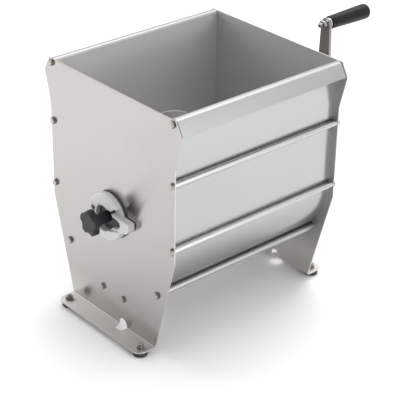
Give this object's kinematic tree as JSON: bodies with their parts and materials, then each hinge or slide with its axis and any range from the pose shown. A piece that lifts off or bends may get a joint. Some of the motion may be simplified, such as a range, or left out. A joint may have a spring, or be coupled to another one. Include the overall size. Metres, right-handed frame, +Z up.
{
  "type": "manual meat mixer",
  "caption": "Open steel mixing tank between folded end plates, with tie rods, rubber feet, a paddle geared to a side crank, and a bayonet cap with a clamp knob.",
  "frame": {"origin": "middle of the bounding box at the height of the feet's undersides", "axes": "+Z up, +Y along the paddle shaft from the knob end to the crank, +X to the right when facing the knob end"},
  "size_m": [0.3176, 0.51, 0.4417],
  "materials": {
    "plate_steel": "brushed end plates, grain upright",
    "tank_steel": "satin sheet, grain along the length",
    "rod_steel": "drawn bright bar",
    "bolt_steel": "bright machined",
    "foot_rubber": "matt black",
    "cap_plastic": "light grey moulded plastic",
    "bush_brass": "machined",
    "insert_plastic": "black moulded plastic",
    "seal_rubber": "matt",
    "dark_screw": "dark machined",
    "knob_plastic": "satin black moulded plastic",
    "pivot_steel": "ground",
    "paddle_steel": "turned bar",
    "blade_steel": "brushed plate",
    "bearing_plastic": "white moulded plastic",
    "case_plate_steel": "ground plate",
    "case_steel": "brushed sheet",
    "gear_steel": "hobbed teeth, light oil",
    "shaft_steel": "ground",
    "key_steel": "ground",
    "ring_steel": "dark spring steel",
    "arm_steel": "brushed bar",
    "bright_steel": "polished",
    "grip_plastic": "satin black"
  },
  "bodies": {
    "frame": {"front_plate": "plate_steel", "rear_plate": "plate_steel", "tank_wrapper": "tank_steel", "top_tie_rods": "rod_steel", "side_tie_rods": "rod_steel", "lower_tie_rods": "rod_steel", "front_tie_bolts": "bolt_steel", "rear_tie_bolts": "bolt_steel", "rubber_feet": "foot_rubber", "foot_studs": "bolt_steel", "foot_nuts": "bolt_steel", "foot_washers": "bolt_steel", "rear_bearing": "bearing_plastic", "rear_bush": "bush_brass", "rear_seal": "seal_rubber", "bearing_screws": "bolt_steel", "gear_plate": "case_plate_steel", "gear_cover": "case_steel", "cover_screws": "bolt_steel", "plate_bush": "bush_brass", "crank_bush": "bush_brass"},
    "paddle": {"paddle_shaft": "paddle_steel", "paddle_bush": "bush_brass", "paddle_arms": "paddle_steel", "paddle_blades": "blade_steel", "drive_shaft": "shaft_steel", "drive_gear": "gear_steel", "drive_key": "key_steel", "drive_ring": "ring_steel"},
    "crank": {"pinion_shaft": "shaft_steel", "pinion": "gear_steel", "pinion_key": "key_steel", "crank_arm": "arm_steel", "crank_washer": "bolt_steel", "crank_screw": "bolt_steel", "grip_stud": "bright_steel", "grip_nut": "bright_steel", "grip_washer": "bright_steel", "grip_collar": "bright_steel"},
    "grip_sleeve": {"grip": "grip_plastic"},
    "cap": {"front_cap": "cap_plastic", "cap_insert": "insert_plastic", "cap_seal": "seal_rubber", "cap_screw": "dark_screw"},
    "knob": {"front_knob": "knob_plastic", "pivot_screw": "pivot_steel"}
  },
  "joints": [
    {"name": "paddle_spin", "type": "hinge", "parent": "frame", "child": "paddle", "pos_m": [0, -0.0455, 0.197], "axis": [0, 1, 0], "continuous": true},
    {"name": "crank_spin", "type": "hinge", "parent": "frame", "child": "crank", "pos_m": [0.065, 0.1195, 0.26281], "axis": [0, 1, 0], "continuous": true},
    {"name": "grip_spin", "type": "hinge", "parent": "crank", "child": "grip_sleeve", "pos_m": [0.065, 0.2145, 0.42951], "axis": [0, 1, 0], "continuous": true},
    {"name": "cap_turn", "type": "hinge", "parent": "frame", "child": "cap", "pos_m": [0, -0.2105, 0.197], "axis": [0, -1, 0], "range_deg": [0, 90]},
    {"name": "knob_turn", "type": "hinge", "parent": "cap", "child": "knob", "pos_m": [0, -0.2485, 0.197], "axis": [0, -1, 0], "range_deg": [0, 1080]}
  ],
  "couplings": [
    {"joint": "crank_spin", "follows": "paddle_spin", "ratio": -2.7}
  ]
}
